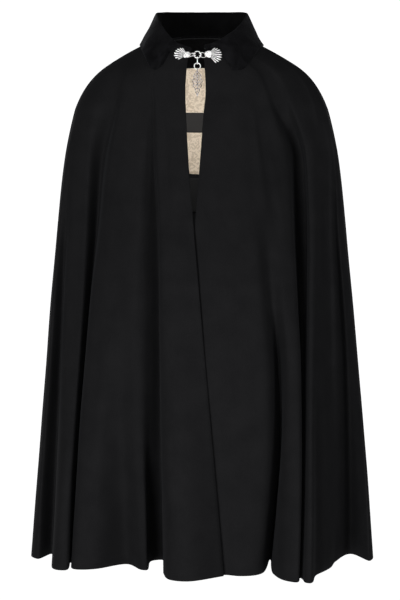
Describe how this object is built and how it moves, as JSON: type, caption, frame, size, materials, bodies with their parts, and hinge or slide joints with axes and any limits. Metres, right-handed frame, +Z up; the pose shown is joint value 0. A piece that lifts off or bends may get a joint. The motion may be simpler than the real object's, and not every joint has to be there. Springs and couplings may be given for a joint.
{
  "type": "cape",
  "caption": "Wool cape with a turned-down velvet collar, an overlapping open front, deep falling folds and a chain clasp with a hanging pendant.",
  "frame": {"origin": "middle of the neck base, where the wearer's neck and shoulders hold the cape up", "axes": "+Z up, the front faces -Y, +X is the wearer's left"},
  "size_m": [0.6544, 0.475, 1.0519],
  "materials": {
    "wool": "black felted wool, fine short nap",
    "velvet": "black cotton velvet, short pile",
    "lining": "pale figured satin",
    "label": "woven band, bare",
    "tab": "satin tape, bare",
    "clasp_metal": "bright silver-coloured cast metal"
  },
  "bodies": {
    "cape": {"front_right": "wool", "front_left": "wool", "back": "wool", "collar": "velvet", "lining_yoke": "lining", "label_band": "label", "care_tab": "tab", "clasp_fan_right": "clasp_metal", "clasp_fan_left": "clasp_metal", "clasp_ring": "clasp_metal"},
    "link": {"link": "clasp_metal"},
    "lower_ring": {"lower_ring": "clasp_metal"},
    "pendant": {"pendant": "clasp_metal"}
  },
  "joints": [
    {"name": "link_swing", "type": "hinge", "parent": "cape", "child": "link", "pos_m": [-0.008, -0.137, -0.035], "axis": [-1, 0, 0], "range_deg": [0, 60]},
    {"name": "lower_ring_sway", "type": "hinge", "parent": "link", "child": "lower_ring", "pos_m": [-0.008, -0.137, -0.046], "axis": [0, 1, 0], "range_deg": [-25, 25]},
    {"name": "pendant_swing", "type": "hinge", "parent": "lower_ring", "child": "pendant", "pos_m": [-0.008, -0.137, -0.0552], "axis": [-1, 0, 0], "range_deg": [0, 60]}
  ]
}
